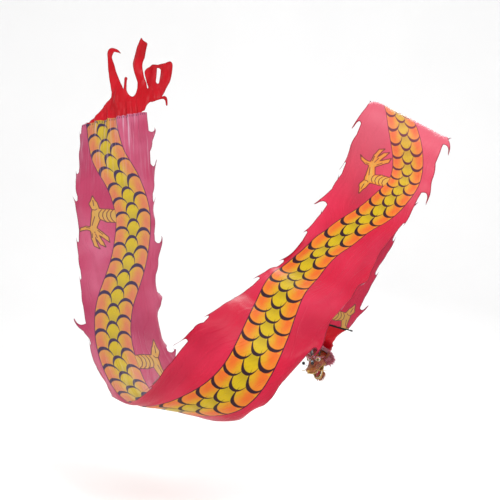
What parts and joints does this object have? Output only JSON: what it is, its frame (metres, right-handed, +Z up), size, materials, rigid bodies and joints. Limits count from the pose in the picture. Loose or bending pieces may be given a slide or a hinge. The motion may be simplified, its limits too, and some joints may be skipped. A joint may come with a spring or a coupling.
{
  "type": "ribbon dragon",
  "caption": "Hand-swung ribbon dragon: telescopic rod, swivel, small dragon head and a long flame-edged printed satin ribbon with gathered tail, flying.",
  "frame": {"origin": "the point on the rod's axis where the hand holds the grip", "axes": "+X to the right as the person faces the viewer from behind it, +Y away from the viewer, +Z up; the ribbon flies as shown"},
  "size_m": [3.2313, 2.2769, 3.1059],
  "materials": {
    "print_cloth": "satin",
    "red_cloth": "satin",
    "mane_fur": "matte",
    "pompom": "matte",
    "grip_foam": "matte",
    "steel": "polished",
    "black_plastic": "satin",
    "head_red": "painted",
    "head_gold": "painted",
    "tongue": "matte",
    "ivory": "satin",
    "eye": "gloss",
    "horn": "satin",
    "brow_mirror": "mirrored"
  },
  "bodies": {
    "rod_handle": {"outer_tube": "steel", "grip_foam": "grip_foam", "butt_cap": "black_plastic", "outer_collar": "black_plastic"},
    "rod_middle": {"middle_tube": "steel", "middle_collar": "black_plastic"},
    "rod_tip": {"tip_tube": "steel", "tip_ferrule": "steel"},
    "swivel": {"swivel_eye": "steel"},
    "clip": {"snap_clip": "steel"},
    "head": {"head_shell": "head_red", "upper_teeth": "ivory", "jaw_pin": "steel", "eye_left": "eye", "eye_right": "eye", "antler_left": "horn", "antler_right": "horn", "ear_left": "head_red", "ear_right": "head_red", "whisker_left": "head_gold", "whisker_right": "head_gold", "nose": "head_gold", "brow_jewel": "brow_mirror", "mane_ruff": "mane_fur", "lead_ring": "steel"},
    "jaw": {"lower_jaw": "head_gold", "lower_teeth": "ivory", "tongue": "tongue"},
    "pompom_arm_left": {"pompom_spring_left": "steel", "pompom_left": "pompom"},
    "pompom_arm_right": {"pompom_spring_right": "steel", "pompom_right": "pompom"},
    "neck": {"neck_sleeve": "red_cloth"},
    "bar": {"spreader_bar": "black_plastic", "bar_cap_left": "black_plastic", "bar_cap_right": "black_plastic"},
    "ribbon_01": {"ribbon_01": "print_cloth"},
    "ribbon_02": {"ribbon_02": "print_cloth"},
    "ribbon_03": {"ribbon_03": "print_cloth"},
    "ribbon_04": {"ribbon_04": "print_cloth"},
    "ribbon_05": {"ribbon_05": "print_cloth"},
    "ribbon_06": {"ribbon_06": "print_cloth"},
    "ribbon_07": {"ribbon_07": "print_cloth"},
    "ribbon_08": {"ribbon_08": "print_cloth"},
    "ribbon_09": {"ribbon_09": "print_cloth"},
    "ribbon_10": {"ribbon_10": "print_cloth"},
    "ribbon_11": {"ribbon_11": "print_cloth"},
    "ribbon_12": {"ribbon_12": "print_cloth"},
    "ribbon_13": {"ribbon_13": "print_cloth"},
    "tail": {"tail_band": "red_cloth"},
    "tail_streamer_left": {"tail_streamer_left": "red_cloth"},
    "tail_streamer_middle": {"tail_streamer_middle": "red_cloth"},
    "tail_streamer_right": {"tail_streamer_right": "red_cloth"}
  },
  "joints": [
    {"name": "rod_middle_slide", "type": "slide", "parent": "rod_handle", "child": "rod_middle", "axis": [0.2322, 0.7152, -0.6592], "range_m": [-0.24, 0]},
    {"name": "rod_tip_slide", "type": "slide", "parent": "rod_middle", "child": "rod_tip", "axis": [0.2322, 0.7152, -0.6592], "range_m": [-0.17, 0]},
    {"name": "swivel_spin", "type": "hinge", "parent": "rod_tip", "child": "swivel", "pos_m": [0.20478, 0.63081, -0.58144], "axis": [0.2322, 0.7152, -0.6592], "continuous": true},
    {"name": "clip_swing", "type": "hinge", "parent": "swivel", "child": "clip", "pos_m": [0.21154, 0.65162, -0.60062], "axis": [0.9511, -0.3088, 0], "range_deg": [-18, 18]},
    {"name": "head_swing", "type": "hinge", "parent": "clip", "child": "head", "pos_m": [0.21953, 0.67622, -0.6233], "axis": [0.2036, 0.627, 0.7519], "range_deg": [-18, 18]},
    {"name": "jaw_hinge", "type": "hinge", "parent": "head", "child": "jaw", "pos_m": [0.27408, 0.74505, -0.72448], "axis": [-0.7766, 0.627, -0.0614], "range_deg": [-6, 28]},
    {"name": "pompom_nod_left", "type": "hinge", "parent": "head", "child": "pompom_arm_left", "pos_m": [0.22494, 0.63685, -0.71925], "axis": [-0.7766, 0.627, -0.0614], "range_deg": [-20, 20], "stiffness_Nm_per_rad": 0.02},
    {"name": "pompom_nod_right", "type": "hinge", "parent": "head", "child": "pompom_arm_right", "pos_m": [0.17835, 0.67447, -0.72294], "axis": [-0.7766, 0.627, -0.0614], "range_deg": [-20, 20], "stiffness_Nm_per_rad": 0.02},
    {"name": "neck_nod", "type": "hinge", "parent": "head", "child": "neck", "pos_m": [0.30783, 0.79644, -0.62642], "axis": [-0.7766, 0.627, -0.0614], "range_deg": [-1, 8]},
    {"name": "bar_tilt", "type": "hinge", "parent": "neck", "child": "bar", "pos_m": [0.25, 0.65, -0.33], "axis": [0.9188, 0.2864, -0.2718], "range_deg": [-20, 20]},
    {"name": "ribbon_root", "type": "hinge", "parent": "bar", "child": "ribbon_01", "pos_m": [0.25, 0.65, -0.33], "axis": [0.9188, 0.2864, -0.2718], "range_deg": [-20, 20]},
    {"name": "ribbon_bend_01", "type": "hinge", "parent": "ribbon_01", "child": "ribbon_02", "pos_m": [0.48002, 0.45315, 0.2315], "axis": [-0.9223, -0.2392, 0.3036], "range_deg": [-12, 14]},
    {"name": "ribbon_bend_02", "type": "hinge", "parent": "ribbon_02", "child": "ribbon_03", "pos_m": [0.72547, 0.24219, 0.78619], "axis": [0.9244, 0.1279, -0.3592], "range_deg": [-12, 14]},
    {"name": "ribbon_bend_03", "type": "hinge", "parent": "ribbon_03", "child": "ribbon_04", "pos_m": [0.91, -0.08, 1.27], "axis": [-0.8764, 0.064, 0.4773], "range_deg": [0, 36]},
    {"name": "ribbon_bend_04", "type": "hinge", "parent": "ribbon_04", "child": "ribbon_05", "pos_m": [0.64, -0.3, 0.72], "axis": [0.8372, -0.4154, -0.3557], "range_deg": [-12, 14]},
    {"name": "ribbon_bend_05", "type": "hinge", "parent": "ribbon_05", "child": "ribbon_06", "pos_m": [0.30211, -0.58697, 0.24663], "axis": [0.8018, -0.5527, -0.227], "range_deg": [-12, 14]},
    {"name": "ribbon_bend_06", "type": "hinge", "parent": "ribbon_06", "child": "ribbon_07", "pos_m": [-0.05261, -0.96811, -0.12619], "axis": [0.8375, -0.3775, -0.395], "range_deg": [-12, 14]},
    {"name": "ribbon_bend_07", "type": "hinge", "parent": "ribbon_07", "child": "ribbon_08", "pos_m": [-0.39266, -1.28376, -0.45665], "axis": [-0.7575, 0.0195, 0.6526], "range_deg": [-8, 20]},
    {"name": "ribbon_bend_08", "type": "hinge", "parent": "ribbon_08", "child": "ribbon_09", "pos_m": [-0.73415, -1.10516, -0.78303], "axis": [-0.7921, -0.4511, 0.4112], "range_deg": [-8, 20]},
    {"name": "ribbon_bend_09", "type": "hinge", "parent": "ribbon_09", "child": "ribbon_10", "pos_m": [-1.0246, -0.65415, -0.7792], "axis": [-0.8336, -0.5215, 0.1818], "range_deg": [-12, 14]},
    {"name": "ribbon_bend_10", "type": "hinge", "parent": "ribbon_10", "child": "ribbon_11", "pos_m": [-1.25578, -0.16963, -0.43292], "axis": [-0.8692, -0.4813, 0.1134], "range_deg": [-12, 14]},
    {"name": "ribbon_bend_11", "type": "hinge", "parent": "ribbon_11", "child": "ribbon_12", "pos_m": [-1.39359, 0.21203, 0.12836], "axis": [-0.9262, -0.3747, 0.0415], "range_deg": [-12, 14]},
    {"name": "ribbon_bend_12", "type": "hinge", "parent": "ribbon_12", "child": "ribbon_13", "pos_m": [-1.4776, 0.49758, 0.7564], "axis": [-0.9896, -0.1344, -0.0504], "range_deg": [-12, 14]},
    {"name": "tail_seam", "type": "hinge", "parent": "ribbon_13", "child": "tail", "pos_m": [-1.54, 0.75, 1.46], "axis": [0.9631, -0.2208, 0.1538], "range_deg": [-20, 20]},
    {"name": "streamer_left_bend", "type": "hinge", "parent": "tail", "child": "tail_streamer_left", "pos_m": [-1.52104, 0.77243, 1.70824], "axis": [0.9693, -0.1975, 0.1463], "range_deg": [-25, 25]},
    {"name": "streamer_middle_bend", "type": "hinge", "parent": "tail", "child": "tail_streamer_middle", "pos_m": [-1.28997, 0.76119, 1.73085], "axis": [0.9961, -0.0178, 0.0869], "range_deg": [-25, 25]},
    {"name": "streamer_right_bend", "type": "hinge", "parent": "tail", "child": "tail_streamer_right", "pos_m": [-1.13426, 0.72613, 1.7555], "axis": [0.9311, -0.3151, 0.1836], "range_deg": [-25, 25]}
  ]
}
